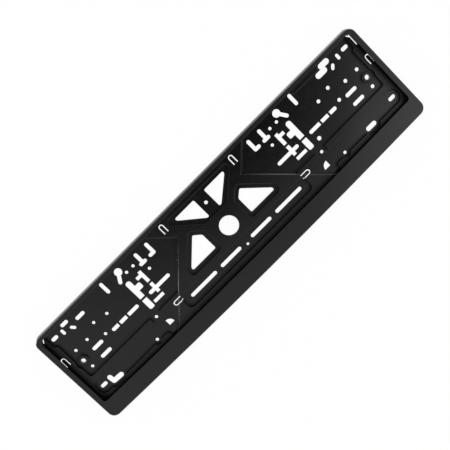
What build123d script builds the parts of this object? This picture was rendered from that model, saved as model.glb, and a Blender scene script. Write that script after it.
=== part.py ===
"""Number plate holder, one plastic moulding, lying on its back with the front face up.

X runs along the plate, Y towards the top edge and Z out of the front. The origin is at the
middle of the back plane. Sizes are in millimetres. Places are given for the +X half and
repeated on the other half by mirrored(). Places near an end are given as
(distance in from the end of the plate, y), and at_end() turns them into x and y. Places in the
cluster of openings beside the plateau are distances in from its tall openings, for in_cluster().
"""

import os
from math import atan2, cos, degrees, pi, radians, sin, tan

from build123d import *

# Plate that the holder carries, the room round it and how far the strip laps over it
PLATE_LENGTH = 520.0
PLATE_HEIGHT = 112.0
END_ROOM = 3.8
EDGE_ROOM = 2.4
STRIP_LAP = 0.5

# Section of the moulding
DEPTH = 13.0
WALL = 2.0
FLARE = 1.2
FRONT_CHAMFER = 0.8
LIP_CHAMFER = 0.2
DRAFT = 12.0

# Front frame: the width of the rim at the ends, at the top and of the lower strip
END_RIM = 7.0
TOP_RIM = 5.0
STRIP_WIDTH = 22.3
BOW = 3.5
TOP_CORNER_RADIUS = 8.5
LOW_CORNER_RADIUS = 9.5
OPENING_RADIUS = 4.0
POCKET_RADIUS = 3.0

# Room for the plate under the lips, and how far the levels of the tray lie below the plate
PLATE_ROOM = 4.0
FLOOR_DROP = 0.5
SUNK_DROP = 4.5
LEDGE_DROP = 3.5

# Plateau in the middle: its waist, the ends of its slanted sides and the slope along their edge
WAIST = (53.7, 35.6)
PLATEAU_HEAD = (89.4, 70.3)
PLATEAU_FOOT = (138.7, -51.0)
EDGE_CHAMFER = 1.2

# Sunk panel on each side of the plateau
PANEL_INSET = 11.3
PANEL_TOP_INSET = 1.1
PANEL_LOW_OUTER = -9.7
PANEL_LOW_INNER = -11.4
PANEL_RADIUS = 3.0
PANEL_NOTCH_REACH = 3.8
PANEL_NOTCH_LOW = 45.5
PANEL_NOTCH_RADIUS = 4.0
SHELF_INSETS = (97.0, 54.5)
SHELF_LOW = 57.3

# Main screw hole at each end, in a round boss with a margin of the panel round it
MAIN_HOLE = (19.2, 10.6)
MAIN_HOLE_DIAMETER = 6.0
BOSS_DIAMETER = 13.2
BOSS_CHAMFER = 0.7
BOSS_MARGIN = 2.9

# Cluster of openings between panel and plateau: the inset of its tall openings
CLUSTER_INSET = 124.0

# Pocket round the lower screw slots, and the channel that joins it to the panel
LOW_POCKET_INSET = 5.5
LOW_POCKET_INNER = 7.0
LOW_POCKET_SHOULDER = -6.6
LOW_POCKET_TOP = -18.6
LOW_POCKET_BOTTOM = -37.4
LOW_POCKET_RADIUS = 8.0
SHOULDER_SLANT = 2.4
CHANNEL = (1.6, -11.5)
LOBE_MARGIN = 3.0

# Pocket round the row of long slots under the middle
ROW_POCKET_HALF = 103.6
ROW_POCKET_TOP = -19.0
ROW_POCKET_BOTTOM = -37.9
ROW_POCKET_RADIUS = 6.0

# Row of long slots
ROW_Y = -28.0
ROW_OUTER_X = 72.1
ROW_OUTER_LENGTH = 42.8
ROW_INNER_X = 25.7
ROW_INNER_LENGTH = 33.4

# Holes on the centre line
CENTRE_HOLE_Y = 2.0
CENTRE_HOLE_DIAMETER = 24.4
UPPER_PIN_Y = 40.9
UPPER_PIN_DIAMETER = 4.5
LOWER_PIN_Y = -31.1
LOWER_PIN_DIAMETER = 3.4

# Windows that lighten the plateau. The upper two share one sunk ledge, the lower ones have their own
UPPER_WINDOW = [(8.8, 26.4), (11.8, 26.4), (40.4, 50.3), (40.4, 53.5), (8.8, 53.5)]
LOWER_WINDOW = [(30.7, -6.5), (68.9, -6.5), (68.9, -3.1), (40.0, 24.5), (30.7, 16.5)]
WINDOW_CHAMFER = 1.2
UPPER_LEDGE = [(17.0, 27.3), (46.0, 53.5), (46.0, 55.0)]
UPPER_LEDGE_RADIUS = 3.0
LOWER_LEDGE_WIDTH = 4.9

# Spring tongues, cut free by U-shaped slits: the place of each tip
SLIT = 1.4
TONGUE_WIDTH = 3.9
TONGUE_LENGTH = 12.6
END_TONGUE = (2.4, 31.0)
TOP_TONGUE = (58.6, 61.6)
LOW_TONGUE = (115.2, -19.8)

# Slits under the top corners of the rim
CORNER_SLIT = (3.4, 61.8)
CORNER_SLIT_LENGTH = 6.0
CORNER_SLIT_ANGLE = 125.0
SIDE_SLIT = (1.6, 54.6)
SIDE_SLIT_LENGTH = 15.4

# Round holes. Small round ends are drawn with flats, each turning by this angle
FLAT_ANGLE = 22.5
PILOT_DIAMETER = 4.1
WIDE_PILOT_DIAMETER = 4.8
END_PILOTS = [(21.1, 25.5), (21.1, -2.5), (40.2, 25.3), (60.9, 14.4), (60.9, 34.3), (80.0, 30.8)]
CLUSTER_PILOTS = [(-5.2, -15.1), (8.8, 49.1), (19.8, 49.1), (31.5, 32.9)]
LOW_PILOT = (99.3, -35.8)
RIGHT_PILOT = (109.7, -1.4)
RIGHT_PILOT_DIAMETER = 5.4

# Screw slots near the ends
SLOT_WIDTH = 4.8
END_SLOT_LENGTH = 9.8
END_SLOTS = [(14.5, 54.1), (14.0, -28.9)]
SIDE_SLOT_LENGTH = 17.0
SIDE_SLOTS = [(44.2, 11.2), (44.6, -2.7)]
UPRIGHT_SLOT = (100.5, 54.2)
UPRIGHT_SLOT_LENGTH = 16.8
SMALL_SLOT_WIDTH = 4.2
SMALL_SLOT_LENGTH = 7.9
SMALL_UPRIGHT = (27.0, 52.3)
SMALL_SLANTED = (39.5, 47.9)
SMALL_SLANT_ANGLE = 48.0

# Line of dashes with thin bridges between them: the insets of the ends of the line, and of the bridges
DASH_Y = 10.9
DASH_ENDS = (69.4, 113.8)
DASH_BRIDGES = (81.4, 95.4)
BRIDGE = 2.6

# Openings on the left half alone
LEFT_TOP_SLOT = (35.5, 58.8)
LEFT_TOP_SLOT_LENGTH = 11.3
LEFT_SLOT = (55.8, 52.1)
LEFT_SLOT_LENGTH = 14.0
HOOK_TOP = (25.0, -27.6)
HOOK_HEEL = (25.8, -34.2)
HOOK_TOE = (37.4, -34.9)
HOOK_WIDTH = 6.5

# Openings on the right half alone
RIGHT_LOW_SLOT = (54.7, -35.6)
RIGHT_LOW_SLOT_LENGTH = 15.4
RIGHT_LOW_SLOT_WIDTH = 5.9
STEP_LOWER = [(59.2, 52.4), (49.4, 52.4)]
STEP_UPPER = [(49.5, 58.4), (40.8, 58.4)]
STEP_WIDTH = 7.2

# Tall openings of the cluster, with a thin bridge between the two, and the lobe of the upper one
TALL_WIDTH = 7.5
TALL_Y = (13.6, 40.4)
LOW_TALL_Y = (-4.2, 10.9)
TALL_RADIUS = 3.4
TALL_CHAMFER = 1.4
LOBE_REACH = 11.1
LOBE_Y = (22.2, 30.3)

# Pear-shaped hole over the tall openings and quarter disc under them
PEAR_TOP = (1.8, 56.4)
PEAR_DIAMETER = 10.2
PEAR_TAIL = (-5.4, 45.6)
QUARTER_CORNER = (-1.2, -34.3)
QUARTER_RADIUS = 8.0

# Angled slots of the cluster: a bar, a stem with an arm, a cross with a post, a tee and an ell
BAR_ENDS = (22.0, 6.3)
BAR_Y = -0.4
BAR_WIDTH = 4.4
STEM = 19.65
STEM_WIDTH = 4.8
STEM_Y = (22.1, 39.4)
ARM_END = 10.8
ARM_Y = (31.9, 36.5)
CROSS_ENDS = (43.2, 9.2)
CROSS_Y = 10.9
POST_Y = (4.8, 19.4)
TEE = 31.3
TEE_FOOT_LENGTH = 11.4
TEE_Y = (41.0, 58.4)
ELL = 49.3
ELL_FOOT_END = 41.5

# Sizes that follow from those above
POCKET_HALF = PLATE_LENGTH / 2 + END_ROOM
HALF_LENGTH = POCKET_HALF + WALL
TOP = (WALL + EDGE_ROOM + PLATE_HEIGHT - STRIP_LAP + STRIP_WIDTH) / 2
BOTTOM = -TOP
POCKET_TOP = TOP - WALL
POCKET_BOTTOM = POCKET_TOP - PLATE_HEIGHT - 2 * EDGE_ROOM
PANEL_END = PLATE_LENGTH / 2 - PANEL_INSET
PANEL_TOP = TOP - TOP_RIM - PANEL_TOP_INSET
LIP_BACK = DEPTH - WALL
REST_LEVEL = LIP_BACK - PLATE_ROOM
FLOOR_LEVEL = REST_LEVEL - FLOOR_DROP
FLOOR_BACK = FLOOR_LEVEL - WALL
SUNK_LEVEL = REST_LEVEL - SUNK_DROP
HOLE_TOP = REST_LEVEL + PLATE_ROOM / 2


def at_end(place):
    """Turns a distance in from the end of the plate, and y, into x and y."""
    return (PLATE_LENGTH / 2 - place[0], place[1])


def in_cluster(place):
    """Turns a distance in from the tall openings, and y, into x and y."""
    return at_end((CLUSTER_INSET + place[0], place[1]))


def mirrored(sketch):
    """A sketch and its mirror image in the middle of the holder."""
    return Sketch() + [sketch, mirror(sketch, about=Plane.YZ)]


def both(pieces):
    """A list of sketches followed by their mirror images."""
    return pieces + [mirror(piece, about=Plane.YZ) for piece in pieces]


def disc(place, diameter):
    return Pos(*place) * Circle(diameter / 2)


def pilot(place, diameter):
    return Pos(*place) * RegularPolygon(diameter / 2, round(360 / FLAT_ANGLE))


def grown(corners, radius):
    """A convex outline, given anticlockwise, grown by a radius that rounds its corners."""
    points = []
    for place, (x, y) in enumerate(corners):
        before, after = corners[place - 1], corners[(place + 1) % len(corners)]
        start = atan2(y - before[1], x - before[0]) - pi / 2
        end = atan2(after[1] - y, after[0] - x) - pi / 2
        turn = (end - start) % (2 * pi)
        steps = max(1, round(degrees(turn) / FLAT_ANGLE))
        for step in range(steps + 1):
            angle = start + turn * step / steps
            points.append((x + radius * cos(angle), y + radius * sin(angle)))
    return polygon(points)


def link(start, end, width):
    """A slot whose round ends are centred on two places."""
    return grown([start, end], width / 2)


def slot(place, length, width, angle=0.0):
    """A slot of a given overall length about its middle."""
    reach = (length - width) / 2
    across, up = reach * cos(radians(angle)), reach * sin(radians(angle))
    x, y = place
    return link((x - across, y - up), (x + across, y + up), width)


def block(x_range, y_range):
    width, height = abs(x_range[1] - x_range[0]), abs(y_range[1] - y_range[0])
    return Pos(sum(x_range) / 2, sum(y_range) / 2) * Rectangle(width, height)


def polygon(points):
    return make_face(Polyline(*points, close=True))


def drafted(sketch, low, high, lean):
    """A sketch drawn up from one level to another, with sides that lean in by an angle."""
    return Pos(0, 0, low) * extrude(sketch, high - low, dir=(0, 0, 1), taper=lean)


def prism(sketch, low, high):
    """A sketch drawn up from one level to another."""
    return Pos(0, 0, low) * extrude(sketch, high - low, dir=(0, 0, 1))


def outline(half, top, bottom, top_radius, low_radius):
    """A rectangle with round corners and a lower edge that bows down in the middle."""
    low_end = bottom + BOW
    sides = Polyline((half, low_end), (half, top), (-half, top), (-half, low_end))
    bowed = ThreePointArc((-half, low_end), (0, bottom), (half, low_end))
    face = make_face([*sides.edges(), bowed])
    face = fillet(face.vertices().group_by(Axis.Y)[0], low_radius)
    return fillet(face.vertices().group_by(Axis.Y)[-1], top_radius)


def shell_solid(margin, height):
    """The flared outer form, grown by a margin all round, from the back plane up."""
    spread = FLARE + margin
    back = outline(
        HALF_LENGTH + spread,
        TOP + spread,
        BOTTOM - spread,
        TOP_CORNER_RADIUS + spread,
        LOW_CORNER_RADIUS + spread,
    )
    return extrude(back, height, taper=degrees(atan2(FLARE, DEPTH)))


def hourglass(margin):
    """The plan of the plateau, grown by a margin."""
    right = [PLATEAU_HEAD, WAIST, PLATEAU_FOOT]
    left = [(-x, y) for x, y in reversed(right)]
    return offset(polygon(right + left), margin, kind=Kind.INTERSECTION)


def tongue_slit(tip, angle):
    """A U-shaped slit round a tongue that points up, turned by an angle about its tip."""
    outer = TONGUE_WIDTH / 2 + SLIT
    bend, root = (0, -outer), (0, -TONGUE_LENGTH - outer)
    ring = link(bend, root, 2 * outer) - link(bend, root, TONGUE_WIDTH)
    below = block((-outer, outer), (-TONGUE_LENGTH - 2 * outer, -TONGUE_LENGTH))
    return Pos(*tip) * Rot(0, 0, angle) * (ring - below)


def frame():
    """The rim and strip with the tray floor in one plane, hollow at the back."""
    body = shell_solid(0, DEPTH)
    body = chamfer(body.edges().group_by(Axis.Z)[-1], FRONT_CHAMFER)
    hollow = shell_solid(-WALL, LIP_BACK)
    tray = block((-2 * HALF_LENGTH, 2 * HALF_LENGTH), (POCKET_BOTTOM - WALL, 2 * TOP))
    body -= hollow - prism(tray, FLOOR_BACK, DEPTH)
    pocket = block((-POCKET_HALF, POCKET_HALF), (POCKET_BOTTOM, POCKET_TOP))
    body -= prism(fillet(pocket.vertices(), POCKET_RADIUS), FLOOR_LEVEL, LIP_BACK)
    opening = outline(
        HALF_LENGTH - END_RIM,
        TOP - TOP_RIM,
        BOTTOM + STRIP_WIDTH,
        OPENING_RADIUS,
        OPENING_RADIUS,
    )
    body -= prism(opening, LIP_BACK, DEPTH)
    front = body.faces().filter_by(Plane.XY).sort_by(Axis.Z)[-1]
    return chamfer(front.inner_wires()[0].edges(), LIP_CHAMFER)


def plateau_foot():
    """The plan of the plateau where its sides meet the sunk panels."""
    return hourglass(EDGE_CHAMFER / 2 + (SUNK_DROP - EDGE_CHAMFER) * tan(radians(DRAFT)))


def plateau():
    """The raised middle: steep sides with a slope along their top edge."""
    half = EDGE_CHAMFER / 2
    shoulder = REST_LEVEL - EDGE_CHAMFER
    slope = loft([Pos(0, 0, shoulder) * hourglass(half), Pos(0, 0, REST_LEVEL) * hourglass(-half)], ruled=True)
    return drafted(plateau_foot(), SUNK_LEVEL, shoulder, DRAFT) + slope


def boss():
    """The round boss of the main screw hole on the right, standing on the panel."""
    body = prism(disc(at_end(MAIN_HOLE), BOSS_DIAMETER), SUNK_LEVEL - WALL / 2, FLOOR_LEVEL)
    return chamfer(body.edges().group_by(Axis.Z)[-1], BOSS_CHAMFER)


def panel_pieces():
    """The end panel on the right, running in under the plateau, with its notch and its room for the boss."""
    corner = (PANEL_END, PANEL_LOW_OUTER)
    inner = WAIST[0] / 2
    plan = polygon([(inner, PANEL_LOW_INNER), corner, (PANEL_END, PANEL_TOP), (inner, PANEL_TOP)])
    low_corner = plan.vertices().sort_by_distance((*corner, 0))[0]
    plan = fillet(low_corner, PANEL_RADIUS)
    reach = (PANEL_END - 2 * PANEL_NOTCH_RADIUS, PANEL_END + PANEL_NOTCH_REACH)
    notch = block(reach, (PANEL_NOTCH_LOW, PANEL_TOP))
    outer_low = notch.vertices().sort_by_distance((reach[1], PANEL_NOTCH_LOW, 0))[0]
    round_boss = disc(at_end(MAIN_HOLE), BOSS_DIAMETER + 2 * BOSS_MARGIN)
    return [plan, fillet(outer_low, PANEL_NOTCH_RADIUS), round_boss]


def top_shelf():
    """The short shelf that the right panel leaves standing beside the top rim."""
    ends = [PLATE_LENGTH / 2 - inset for inset in SHELF_INSETS]
    return block(ends, (SHELF_LOW, TOP))


def low_pocket_pieces():
    """The pocket of the lower slots on the right, with its way out under the strip, its channel and a lobe."""
    outer = PLATE_LENGTH / 2 - LOW_POCKET_INSET
    inner, shoulder = in_cluster((LOW_POCKET_INNER, 0))[0], in_cluster((LOW_POCKET_SHOULDER, 0))[0]
    main = block((inner, outer), (LOW_POCKET_BOTTOM, LOW_POCKET_TOP))
    main = fillet(main.vertices().group_by(Axis.X)[-1], LOW_POCKET_RADIUS)
    way_out = polygon(
        [
            (inner, LOW_POCKET_TOP),
            (shoulder + SHOULDER_SLANT, LOW_POCKET_TOP),
            (shoulder + SHOULDER_SLANT, LOW_POCKET_BOTTOM),
            (shoulder, LOW_POCKET_BOTTOM - SHOULDER_SLANT),
            (shoulder, POCKET_BOTTOM),
            (inner, POCKET_BOTTOM),
        ]
    )
    sides = [in_cluster((reach, 0))[0] for reach in CHANNEL]
    channel = block(sides, (LOW_POCKET_BOTTOM, 0))
    return [main, way_out, channel, pilot(at_end(LOW_PILOT), PILOT_DIAMETER + 2 * LOBE_MARGIN)]


def window(points):
    plan = polygon(points)
    return chamfer(plan.vertices(), WINDOW_CHAMFER)


def row_pocket_plan():
    plan = block((-ROW_POCKET_HALF, ROW_POCKET_HALF), (ROW_POCKET_BOTTOM, ROW_POCKET_TOP))
    return fillet(plan.vertices(), ROW_POCKET_RADIUS)


def left_hook(margin=0.0):
    """The two arms of the hooked slot of the left half, grown by a margin."""
    top, heel, toe = at_end(HOOK_TOP), at_end(HOOK_HEEL), at_end(HOOK_TOE)
    width = HOOK_WIDTH + 2 * margin
    return [mirror(link(*ends, width), about=Plane.YZ) for ends in [(top, heel), (heel, toe)]]


def right_low_slot(margin=0.0):
    """The wide slot under the right panel, grown by a margin."""
    length, width = RIGHT_LOW_SLOT_LENGTH + 2 * margin, RIGHT_LOW_SLOT_WIDTH + 2 * margin
    return slot(at_end(RIGHT_LOW_SLOT), length, width)


def end_openings():
    """Holes and slots near the right end that the left end repeats."""
    parts = [disc(at_end(MAIN_HOLE), MAIN_HOLE_DIAMETER), pilot(at_end(LOW_PILOT), PILOT_DIAMETER)]
    parts += [slot(at_end(place), END_SLOT_LENGTH, SLOT_WIDTH) for place in END_SLOTS]
    parts += [slot(at_end(place), SIDE_SLOT_LENGTH, SLOT_WIDTH) for place in SIDE_SLOTS]
    parts += [slot(at_end(UPRIGHT_SLOT), UPRIGHT_SLOT_LENGTH, SLOT_WIDTH, 90)]
    parts += [slot(at_end(SMALL_UPRIGHT), SMALL_SLOT_LENGTH, SMALL_SLOT_WIDTH, 90)]
    parts += [slot(at_end(SMALL_SLANTED), SMALL_SLOT_LENGTH, SMALL_SLOT_WIDTH, SMALL_SLANT_ANGLE)]
    parts += [slot(at_end(CORNER_SLIT), CORNER_SLIT_LENGTH, SLIT, CORNER_SLIT_ANGLE)]
    return parts + [tongue_slit(at_end(END_TONGUE), 0), dashes()]


def dashes():
    """A line of dashes: one long slot with bridges left standing across it."""
    half = SLOT_WIDTH / 2
    ends = [at_end((inset, DASH_Y))[0] for inset in DASH_ENDS]
    run = link((ends[1] + half, DASH_Y), (ends[0] - half, DASH_Y), SLOT_WIDTH)
    for inset in DASH_BRIDGES:
        run -= Pos(*at_end((inset, DASH_Y))) * Rectangle(BRIDGE, SLOT_WIDTH)
    return run


def tall_openings():
    """The tall openings of the cluster, the pear and the quarter disc."""
    middle = in_cluster((0, 0))[0]
    sides = (middle - TALL_WIDTH / 2, middle + TALL_WIDTH / 2)
    upper = block(sides, TALL_Y)
    upper = fillet(upper.vertices().group_by(Axis.Y)[-1], TALL_RADIUS)
    lobe = block((middle - LOBE_REACH, middle), LOBE_Y)
    lobe = chamfer(lobe.vertices().group_by(Axis.X)[0], TALL_CHAMFER)
    lower = block(sides, LOW_TALL_Y)
    lower = chamfer(lower.vertices().group_by(Axis.Y)[0], TALL_CHAMFER)
    pear = pilot(in_cluster(PEAR_TOP), PEAR_DIAMETER)
    pear += link(in_cluster(PEAR_TOP), in_cluster(PEAR_TAIL), SLOT_WIDTH)
    x, y = in_cluster(QUARTER_CORNER)
    corner = block((x - QUARTER_RADIUS, x), (y, y + QUARTER_RADIUS))
    quarter = pilot((x, y), 2 * QUARTER_RADIUS) & corner
    return [upper + lobe, lower, pear, quarter]


def angled_openings():
    """Bar, stem with an arm, cross, tee and ell of the cluster."""
    half = SLOT_WIDTH / 2
    middle = in_cluster((0, 0))[0]
    bar_y = (BAR_Y - BAR_WIDTH / 2, BAR_Y + BAR_WIDTH / 2)
    bar = block([middle - reach for reach in BAR_ENDS], bar_y)
    stem_x = (middle - STEM - STEM_WIDTH / 2, middle - STEM + STEM_WIDTH / 2)
    stem = block(stem_x, STEM_Y) + block((stem_x[0], middle - ARM_END), ARM_Y)
    inner, outer = [middle - reach for reach in CROSS_ENDS]
    cross = link((inner + half, CROSS_Y), (outer - half, CROSS_Y), SLOT_WIDTH) + block(stem_x, POST_Y)
    low, high = TEE_Y[0] + half, TEE_Y[1] - half
    foot = (TEE_FOOT_LENGTH - SLOT_WIDTH) / 2
    tee_x, ell_x = middle - TEE, middle - ELL
    tee = link((tee_x, low), (tee_x, high), SLOT_WIDTH)
    tee += link((tee_x - foot, low), (tee_x + foot, low), SLOT_WIDTH)
    ell = link((ell_x, low), (ell_x, high), SLOT_WIDTH)
    ell += link((ell_x, low), (middle - ELL_FOOT_END - half, low), SLOT_WIDTH)
    return [bar, stem, cross, tee, ell]


def inner_openings():
    """Openings of the right half in the cluster and on the plateau."""
    parts = [pilot(in_cluster(place), PILOT_DIAMETER) for place in CLUSTER_PILOTS]
    parts += [Pos(ROW_OUTER_X, ROW_Y) * SlotOverall(ROW_OUTER_LENGTH, SLOT_WIDTH)]
    parts += [Pos(ROW_INNER_X, ROW_Y) * SlotOverall(ROW_INNER_LENGTH, SLOT_WIDTH)]
    parts += [window(UPPER_WINDOW), window(LOWER_WINDOW)]
    parts += [tongue_slit(TOP_TONGUE, 0), tongue_slit(LOW_TONGUE, -90)]
    return parts + tall_openings() + angled_openings()


def centre_openings():
    return [
        disc((0, CENTRE_HOLE_Y), CENTRE_HOLE_DIAMETER),
        disc((0, UPPER_PIN_Y), UPPER_PIN_DIAMETER),
        disc((0, LOWER_PIN_Y), LOWER_PIN_DIAMETER),
    ]


def left_openings():
    """Openings that only the left half has, drawn on the right and mirrored."""
    parts = [
        slot(at_end(LEFT_TOP_SLOT), LEFT_TOP_SLOT_LENGTH, SLOT_WIDTH),
        slot(at_end(LEFT_SLOT), LEFT_SLOT_LENGTH, SLOT_WIDTH),
    ]
    parts += [pilot(at_end(place), PILOT_DIAMETER) for place in END_PILOTS]
    return [mirror(part, about=Plane.YZ) for part in parts] + left_hook()


def right_openings():
    """Openings that only the right half has."""
    parts = [pilot(at_end(place), WIDE_PILOT_DIAMETER) for place in END_PILOTS]
    return parts + [
        right_low_slot(),
        pilot(at_end(RIGHT_PILOT), RIGHT_PILOT_DIAMETER),
        link(at_end(STEP_LOWER[0]), at_end(STEP_LOWER[1]), STEP_WIDTH)
        + link(at_end(STEP_UPPER[0]), at_end(STEP_UPPER[1]), STEP_WIDTH),
        slot(at_end(SIDE_SLIT), SIDE_SLIT_LENGTH, SLIT, 90),
    ]


def pan(plan, drop):
    """What stands out at the back under a sunk area."""
    return prism(offset(plan, WALL, kind=Kind.INTERSECTION), REST_LEVEL - drop - WALL, FLOOR_BACK + WALL / 4)


def sunk_room(pieces, drop):
    """The room over a sunk area, up to the level that the plate rests on."""
    return Part() + [drafted(piece, REST_LEVEL - drop, REST_LEVEL, -DRAFT) for piece in pieces]


def holder():
    body = frame()
    rest = plateau()
    inside = block((-POCKET_HALF, POCKET_HALF), (POCKET_BOTTOM, POCKET_TOP))
    body += rest & prism(inside, FLOOR_BACK, REST_LEVEL)

    # Each sunk area in simple pieces, and its level below the one that the plate rests on
    panels = both(panel_pieces())
    low_pockets = both(low_pocket_pieces()) + left_hook(LOBE_MARGIN) + [right_low_slot(LOBE_MARGIN)]
    left_ledge = [(-x, y) for x, y in reversed(UPPER_LEDGE)]
    ledges = both([grown(LOWER_WINDOW, LOWER_LEDGE_WIDTH)])
    ledges += [grown(UPPER_LEDGE + left_ledge, UPPER_LEDGE_RADIUS)]
    beside_plateau = [(panels, SUNK_DROP), (low_pockets, SUNK_DROP)]
    in_plateau = [([row_pocket_plan()], SUNK_DROP), (ledges, LEDGE_DROP)]

    # The back follows every sunk area at the thickness of the wall
    shelf = drafted(top_shelf(), SUNK_LEVEL, REST_LEVEL, DRAFT)
    for pieces, drop in beside_plateau:
        plan = Sketch() + pieces - plateau_foot() - top_shelf()
        body += pan(plan, drop)
    for pieces, drop in in_plateau:
        body += pan(Sketch() + pieces, drop)
    for pieces, drop in beside_plateau:
        body -= sunk_room(pieces, drop) - rest - shelf
    for pieces, drop in in_plateau:
        body -= sunk_room(pieces, drop)
    body += [boss(), mirror(boss(), about=Plane.YZ)]

    paired = mirrored(Sketch() + end_openings() + inner_openings())
    openings = paired + centre_openings() + left_openings() + right_openings()
    return body - prism(openings, -WALL, HOLE_TOP)


os.makedirs("parts", exist_ok=True)
export_step(holder(), "parts/plate_holder.step")
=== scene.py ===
"""Number plate holder in black plastic, lying on a white floor and seen from above."""

import math

import bpy
from mathutils import Matrix, Vector


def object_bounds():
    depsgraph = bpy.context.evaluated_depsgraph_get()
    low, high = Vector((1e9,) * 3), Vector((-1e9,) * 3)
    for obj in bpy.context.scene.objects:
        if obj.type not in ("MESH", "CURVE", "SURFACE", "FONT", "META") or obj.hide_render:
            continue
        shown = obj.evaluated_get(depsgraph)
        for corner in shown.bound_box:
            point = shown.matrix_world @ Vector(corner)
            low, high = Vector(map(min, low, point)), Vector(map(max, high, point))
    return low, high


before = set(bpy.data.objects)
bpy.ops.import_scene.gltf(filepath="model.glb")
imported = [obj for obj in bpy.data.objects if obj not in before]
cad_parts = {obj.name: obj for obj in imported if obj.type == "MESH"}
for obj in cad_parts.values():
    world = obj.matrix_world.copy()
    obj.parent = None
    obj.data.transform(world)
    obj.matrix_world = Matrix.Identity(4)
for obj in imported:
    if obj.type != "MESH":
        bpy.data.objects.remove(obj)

cad_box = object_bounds()

# Camera at the photograph's angle: its place, the point it looks at and the turn of its upright
CAMERA_PLACE = (0.04254, 0.17802, 1.07113)
CAMERA_AIM = (-0.00321, 0.00552, 0.005)
CAMERA_TURN = math.radians(45.15)
CAMERA_LENS = 71.94
SENSOR_WIDTH = 36.0

# Directions in the picture, as seen from above
PICTURE_UP = Vector((math.cos(CAMERA_TURN), math.sin(CAMERA_TURN), 0.0))
PICTURE_RIGHT = Vector((math.sin(CAMERA_TURN), -math.cos(CAMERA_TURN), 0.0))

# Dim patch of the light tent overhead, long across the part: its middle and half size in a unit
# sphere, and the tent's brightness by the distance from that middle in half sizes
DIM_PLACE = (0.02, -0.110, 0.0)
DIM_SIZE = (0.17, 0.060)
TENT = [(0.0, 0.02), (0.55, 0.05), (1.0, 0.34), (1.6, 0.58), (3.0, 0.71), (6.0, 0.95)]

# Soft boxes: name, place, the point they face, size and power. Key and edge shine on the sloped
# edges, and stand so low that the floors mirror them only when seen from very low down
MIDDLE = (0.0, 0.0, 0.0)
LOW = Vector((0.0, 0.0, 0.085))
SOFT_BOXES = [
    ("key", -1.1 * PICTURE_RIGHT - 0.2 * PICTURE_UP + LOW, MIDDLE, (0.34, 0.16), 2.4),
    ("edge", 1.1 * PICTURE_UP + 0.15 * PICTURE_RIGHT + LOW, MIDDLE, (0.5, 0.16), 0.5),
    ("fill", (0.62, -0.50, 1.5), (0.2, -0.04, 0.0), (0.6, 0.6), 0.5),
    ("corner", (0.70, -0.48, 1.5), (0.26, -0.05, 0.0), (0.34, 0.34), 0.2),
]

# Floor: its side, and the share of plain white in what is seen of it. The rest is lit and shaded
WHITE = (1.0, 1.0, 1.0, 1.0)
FLOOR_SIDE = 12.0
GLOW_SHARE = 0.95

# Heights at which the smooth tray gives way to the grained front of rim and strip
FRONT_FROM = 0.0113
FRONT_TO = 0.0122

# Plastic: its tones, roughness and moulded grain. A noise is given by its scale and detail
PLASTIC_IOR = 1.5
DARK_TONE = (0.0022, 0.0022, 0.0024, 1.0)
LIGHT_TONE = (0.0052, 0.0052, 0.0055, 1.0)
TONE_NOISE = (14.0, 3.0)
TRAY_ROUGHNESS = 0.12
FRONT_ROUGHNESS = 0.18
PATCH_CHANGE = 0.02
PATCH_NOISE = (120.0, 4.0)
PATCH_RANGE = (0.3, 0.7)
TRAY_GRAIN = 0.03
FRONT_GRAIN = 0.20
GRAIN_NOISE = (1700.0, 2.0)
GRAIN_DEPTH = 0.00012

# Radius of the rounding seen along the edges, and the samples for it and for the shade
SOFT_EDGE = 0.0005
SOFT_SAMPLES = 8

# Side on which the painted shade falls beside walls: the lower side, and each end by the distance
# from the middle
PAINTED_SHADE_SIDE = (0.0, -0.6, 0.75)
PAINTED_SHADE_SPREAD = (3.5, 0.0, 0.0)

# Painted shade beside walls and under lips: how far it reaches, the open shares of the sky at which
# it is full and at which it ends, and what it takes from the shine. Lips paint shade only on the
# raised floors
FULL_SHINE = 0.5
WALL_PAINTED_SHADE = (0.005, 0.25, 0.80, 0.33)
LIP_PAINTED_SHADE = (0.016, 0.25, 0.72, 0.48)
RAISED_FROM = 0.0050
RAISED_TO = 0.0055


def new_tree(owner):
    owner.use_nodes = True
    owner.node_tree.nodes.clear()
    return owner.node_tree.nodes, owner.node_tree.links


def make_node(nodes, kind, **values):
    """A shader node with some of its inputs set by name."""
    made = nodes.new(kind)
    for name, value in values.items():
        made.inputs[name.replace("_", " ")].default_value = value
    return made


def noise(nodes, links, place, scale, detail):
    made = make_node(nodes, "ShaderNodeTexNoise", Scale=scale, Detail=detail)
    links.new(place, made.inputs["Vector"])
    return made.outputs["Fac"]


def spread(nodes, links, value, low, high, to_low, to_high):
    """A value between two limits, mapped to two others."""
    limits = {"From_Min": low, "From_Max": high, "To_Min": to_low, "To_Max": to_high}
    made = make_node(nodes, "ShaderNodeMapRange", **limits)
    links.new(value, made.inputs["Value"])
    return made.outputs["Result"]


def join(nodes, links, operation, first, second, clamp=False):
    """Two values joined by a sum, a product or the like."""
    made = nodes.new("ShaderNodeMath")
    made.operation = operation
    made.use_clamp = clamp
    links.new(first, made.inputs[0])
    links.new(second, made.inputs[1])
    return made.outputs["Value"]


def vector_step(nodes, links, operation, vector, *values):
    """One step of arithmetic on a vector, with fixed values."""
    made = nodes.new("ShaderNodeVectorMath")
    made.operation = operation
    links.new(vector, made.inputs[0])
    for number, value in enumerate(values, 1):
        made.inputs[number].default_value = value
    return made.outputs["Value" if operation == "LENGTH" else "Vector"]


def paint_shade(nodes, links, lean, reach, hidden, clear, most):
    """Painted shade: what is taken from the shine where the moulding hides one side of the sky."""
    made = make_node(nodes, "ShaderNodeAmbientOcclusion", Distance=reach)
    made.only_local = True
    made.samples = SOFT_SAMPLES
    links.new(lean, made.inputs["Normal"])
    return spread(nodes, links, made.outputs["AO"], hidden, clear, most, 0.0)


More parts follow.
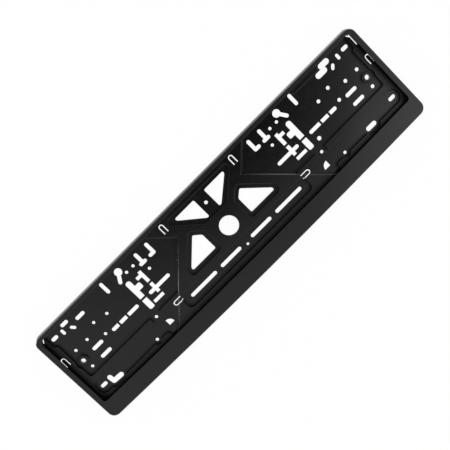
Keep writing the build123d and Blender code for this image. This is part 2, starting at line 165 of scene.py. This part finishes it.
def show_mix(nodes, links, output, share, first, second):
    """A surface of two shaders, with the share of the second."""
    mix = nodes.new("ShaderNodeMixShader")
    links.new(share, mix.inputs["Fac"])
    links.new(first, mix.inputs[1])
    links.new(second, mix.inputs[2])
    links.new(mix.outputs["Shader"], nodes.new(output).inputs["Surface"])


def plastic_material():
    """Black moulded plastic: smooth in the tray, finely grained on the front of rim and strip, with
    painted shade on its shine beside walls and under lips.
    """
    material = bpy.data.materials.new("black_plastic")
    nodes, links = new_tree(material)
    output = nodes.new("ShaderNodeOutputMaterial")
    shader = make_node(nodes, "ShaderNodeBsdfPrincipled", IOR=PLASTIC_IOR)
    links.new(shader.outputs["BSDF"], output.inputs["Surface"])

    place = nodes.new("ShaderNodeTexCoord").outputs["Object"]
    split = nodes.new("ShaderNodeSeparateXYZ")
    links.new(place, split.inputs["Vector"])
    height = split.outputs["Z"]
    front = spread(nodes, links, height, FRONT_FROM, FRONT_TO, 0.0, 1.0)

    # Broad, faint differences in tone, as a large moulding has
    colour = nodes.new("ShaderNodeMix")
    colour.data_type = "RGBA"
    colour.inputs["A"].default_value = DARK_TONE
    colour.inputs["B"].default_value = LIGHT_TONE
    links.new(noise(nodes, links, place, *TONE_NOISE), colour.inputs["Factor"])
    links.new(colour.outputs["Result"], shader.inputs["Base Color"])

    # Rougher on the grained front, with small shiny and dull patches
    base = spread(nodes, links, front, 0.0, 1.0, TRAY_ROUGHNESS, FRONT_ROUGHNESS)
    patches = noise(nodes, links, place, *PATCH_NOISE)
    change = spread(nodes, links, patches, *PATCH_RANGE, -PATCH_CHANGE, PATCH_CHANGE)
    links.new(join(nodes, links, "ADD", base, change), shader.inputs["Roughness"])

    # Painted shade: floors shine less where a wall or lip on a fixed side hides the sky, set in the
    # material and not by the lamps
    side = vector_step(nodes, links, "MULTIPLY_ADD", place, PAINTED_SHADE_SPREAD, PAINTED_SHADE_SIDE)
    lean = vector_step(nodes, links, "NORMALIZE", side)
    wall_painted_shade = paint_shade(nodes, links, lean, *WALL_PAINTED_SHADE)
    lip_painted_shade = paint_shade(nodes, links, lean, *LIP_PAINTED_SHADE)
    raised = spread(nodes, links, height, RAISED_FROM, RAISED_TO, 0.0, 1.0)
    under_lip_painted_shade = join(nodes, links, "MULTIPLY", lip_painted_shade, raised)
    painted_shade = join(nodes, links, "MAXIMUM", wall_painted_shade, under_lip_painted_shade)
    shine = spread(nodes, links, painted_shade, 0.0, FULL_SHINE, FULL_SHINE, 0.0)
    links.new(shine, shader.inputs["Specular IOR Level"])

    # Moulded grain, deeper on the front
    bump = make_node(nodes, "ShaderNodeBump", Distance=GRAIN_DEPTH)
    links.new(noise(nodes, links, place, *GRAIN_NOISE), bump.inputs["Height"])
    strength = spread(nodes, links, front, 0.0, 1.0, TRAY_GRAIN, FRONT_GRAIN)
    links.new(strength, bump.inputs["Strength"])
    links.new(bump.outputs["Normal"], shader.inputs["Normal"])

    # Edges are rounded a little, as a mould leaves them
    soft = make_node(nodes, "ShaderNodeBevel", Radius=SOFT_EDGE)
    soft.samples = SOFT_SAMPLES
    links.new(soft.outputs["Normal"], bump.inputs["Normal"])
    return material


def seen_rays(nodes, links):
    """One for rays from the camera, or through glass or gloss, and nought for the rest."""
    path = nodes.new("ShaderNodeLightPath")
    total = path.outputs["Is Camera Ray"]
    for name in ("Is Glossy Ray", "Is Transmission Ray"):
        total = join(nodes, links, "ADD", total, path.outputs[name], clamp=True)
    return total


def make_floor():
    """A floor that shows as white and keeps a faint shadow."""
    bpy.ops.mesh.primitive_plane_add(size=FLOOR_SIDE, location=(0.0, 0.0, cad_box[0].z))
    floor = bpy.context.object
    floor.name = "floor"
    material = bpy.data.materials.new("floor")
    nodes, links = new_tree(material)
    paint = make_node(nodes, "ShaderNodeBsdfDiffuse", Color=WHITE).outputs["BSDF"]
    glow = make_node(nodes, "ShaderNodeEmission", Color=WHITE, Strength=1.0).outputs["Emission"]
    share = spread(nodes, links, seen_rays(nodes, links), 0.0, 1.0, 0.0, GLOW_SHARE)
    show_mix(nodes, links, "ShaderNodeOutputMaterial", share, paint, glow)
    floor.data.materials.append(material)


def make_world():
    """A plain white backdrop, and a light tent that is bright low all round and dim overhead."""
    world = bpy.data.worlds.new("studio")
    bpy.context.scene.world = world
    nodes, links = new_tree(world)
    backdrop = make_node(nodes, "ShaderNodeBackground", Color=WHITE, Strength=1.0)

    # Distance from the middle of the dim patch, in half sizes
    sky = nodes.new("ShaderNodeTexCoord").outputs["Generated"]
    shift = vector_step(nodes, links, "SUBTRACT", sky, DIM_PLACE)
    scale = (1.0 / DIM_SIZE[0], 1.0 / DIM_SIZE[1], 0.0)
    away = vector_step(nodes, links, "MULTIPLY", shift, scale)
    distance = vector_step(nodes, links, "LENGTH", away)

    reach = TENT[-1][0]
    ramp = nodes.new("ShaderNodeValToRGB")
    stops = ramp.color_ramp.elements
    stops.remove(stops[-1])
    for number, (from_middle, level) in enumerate(TENT):
        stop = stops[0] if number == 0 else stops.new(from_middle / reach)
        stop.position = from_middle / reach
        stop.color = (level, level, level, 1.0)
    links.new(spread(nodes, links, distance, 0.0, reach, 0.0, 1.0), ramp.inputs["Fac"])
    tent = nodes.new("ShaderNodeBackground")
    links.new(ramp.outputs["Color"], tent.inputs["Color"])

    seen = nodes.new("ShaderNodeLightPath").outputs["Is Camera Ray"]
    lit, white = tent.outputs["Background"], backdrop.outputs["Background"]
    show_mix(nodes, links, "ShaderNodeOutputWorld", seen, lit, white)


def area_light(name, place, aim, size, power):
    """A soft box of two sides that faces a point."""
    data = bpy.data.lights.new(name, "AREA")
    data.shape = "RECTANGLE"
    data.size, data.size_y = size
    data.energy = power
    lamp = bpy.data.objects.new(name, data)
    lamp.location = place
    lamp.rotation_euler = (Vector(aim) - Vector(place)).to_track_quat("-Z", "Y").to_euler()
    bpy.context.scene.collection.objects.link(lamp)


def make_camera():
    back = (Vector(CAMERA_PLACE) - Vector(CAMERA_AIM)).normalized()
    right = PICTURE_UP.cross(back).normalized()
    upright = back.cross(right)
    data = bpy.data.cameras.new("camera")
    data.lens = CAMERA_LENS
    data.sensor_width = SENSOR_WIDTH
    camera = bpy.data.objects.new("camera", data)
    turn = Matrix((right, upright, back)).transposed().to_4x4()
    camera.matrix_world = Matrix.Translation(CAMERA_PLACE) @ turn
    bpy.context.scene.collection.objects.link(camera)
    bpy.context.scene.camera = camera


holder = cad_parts["plate_holder"]
holder.data.materials.clear()
holder.data.materials.append(plastic_material())

make_floor()
make_world()
for soft_box in SOFT_BOXES:
    area_light(*soft_box)
make_camera()

bpy.context.scene.view_settings.view_transform = "Standard"
